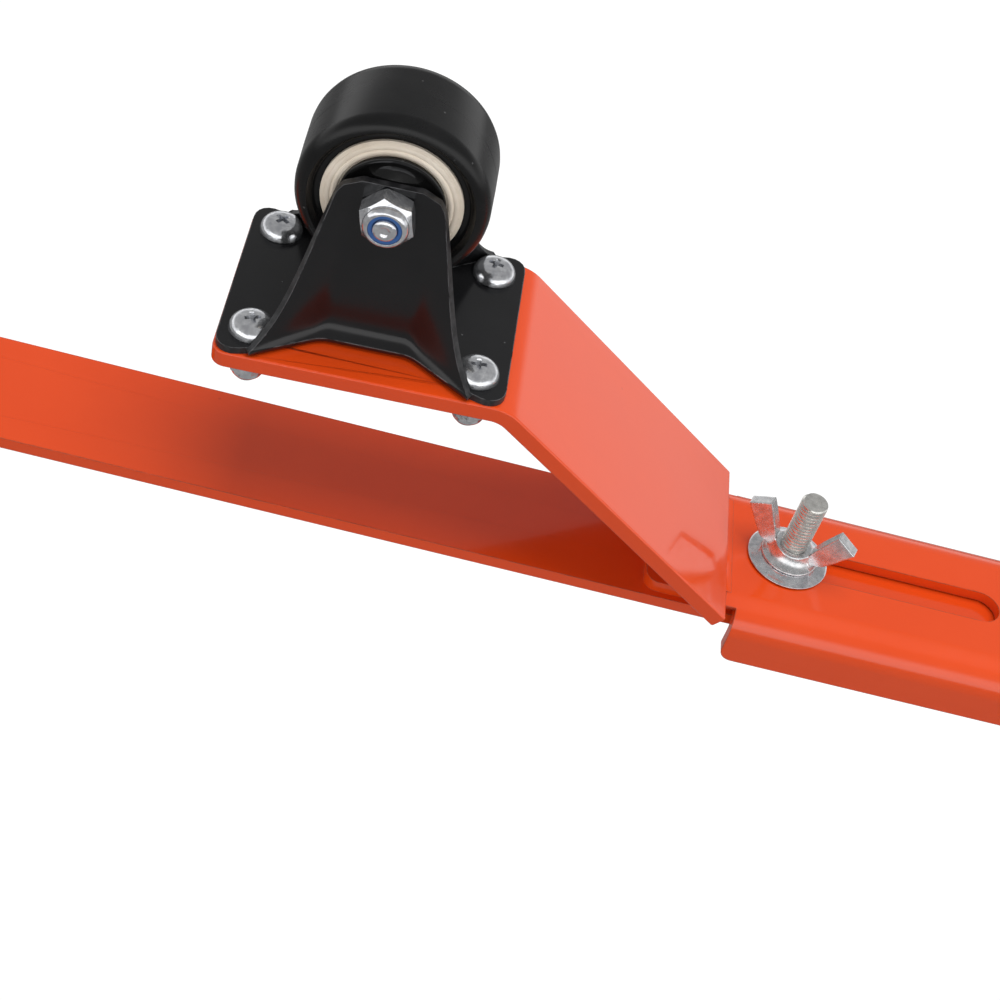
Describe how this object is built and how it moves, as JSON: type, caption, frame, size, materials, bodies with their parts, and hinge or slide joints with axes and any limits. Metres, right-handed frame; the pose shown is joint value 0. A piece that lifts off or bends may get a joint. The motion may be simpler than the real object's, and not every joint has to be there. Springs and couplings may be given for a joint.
{
  "type": "ladder roof ridge hook",
  "caption": "Wheeled roof ridge hook for a ladder: flat hook bar with a T-bar end, and a sliding channel that clamps a rung with wing nuts and carries a fixed caster.",
  "frame": {"origin": "centre of the load-bearing rung seat inside the hook bar's end hook", "axes": "+X along the hook bar, from the T-bar towards the foot of the ladder; +Y across the bar, along the rung; +Z towards the wheel's side"},
  "size_m": [0.7681, 0.406, 0.3379],
  "materials": {
    "orange_coat": "glossy powder coat",
    "black_enamel": "semi-gloss enamel, worn at the edges",
    "zinc_steel": "bright zinc plate",
    "bearing_steel": "polished",
    "tread_rubber": "satin",
    "grip_rubber": "matte",
    "cream_plastic": "moulded, dusty",
    "black_plastic": "glossy",
    "blue_nylon": "satin"
  },
  "bodies": {
    "bar": {"hook_bar": "orange_coat", "guide_plate": "orange_coat", "load_hook_liner": "grip_rubber", "clamp_bolts": "zinc_steel", "t_bar": "orange_coat", "t_bar_bolts": "zinc_steel", "t_bar_nuts": "zinc_steel", "rubber_sleeve_near": "grip_rubber", "rubber_sleeve_far": "grip_rubber", "end_cap_near": "black_plastic", "end_cap_far": "black_plastic"},
    "channel": {"channel": "orange_coat", "wheel_bracket": "orange_coat", "bracket_weld": "orange_coat", "lock_hook": "orange_coat", "lock_hook_liner": "grip_rubber", "caster_fork": "black_enamel", "caster_screws": "zinc_steel", "caster_nuts": "zinc_steel", "thread_guards": "black_plastic", "axle_bolt": "zinc_steel", "axle_nut": "zinc_steel", "axle_nut_insert": "blue_nylon", "axle_spacer": "zinc_steel", "bearing_inner_rings": "bearing_steel"},
    "wheel": {"wheel_tread": "tread_rubber", "wheel_core": "cream_plastic", "bearing_outer_rings": "bearing_steel", "bearing_balls": "bearing_steel"},
    "washer_1": {"clamp_washer_1": "zinc_steel"},
    "wing_nut_1": {"wing_nut_1": "zinc_steel"},
    "washer_2": {"clamp_washer_2": "zinc_steel"},
    "wing_nut_2": {"wing_nut_2": "zinc_steel"}
  },
  "joints": [
    {"name": "channel_slide", "type": "slide", "parent": "bar", "child": "channel", "axis": [-1, 0, 0], "range_m": [0, 0.062]},
    {"name": "wheel_spin", "type": "hinge", "parent": "channel", "child": "wheel", "pos_m": [-0.55739, 0, 0.13231], "axis": [0, 1, 0], "continuous": true},
    {"name": "washer_1_lift", "type": "slide", "parent": "bar", "child": "washer_1", "axis": [0, 0, 1], "range_m": [0, 0.01]},
    {"name": "wing_nut_1_turn", "type": "hinge", "parent": "washer_1", "child": "wing_nut_1", "pos_m": [-0.4188, 0, 0.0341], "axis": [0, 0, 1], "range_deg": [0, 2882]},
    {"name": "washer_2_lift", "type": "slide", "parent": "bar", "child": "washer_2", "axis": [0, 0, 1], "range_m": [0, 0.01]},
    {"name": "wing_nut_2_turn", "type": "hinge", "parent": "washer_2", "child": "wing_nut_2", "pos_m": [-0.2538, 0, 0.0341], "axis": [0, 0, 1], "range_deg": [0, 2882]}
  ],
  "couplings": [
    {"joint": "wing_nut_1_turn", "follows": "washer_1_lift", "rad_per_m": 5026.5},
    {"joint": "wing_nut_2_turn", "follows": "washer_2_lift", "rad_per_m": 5026.5}
  ]
}
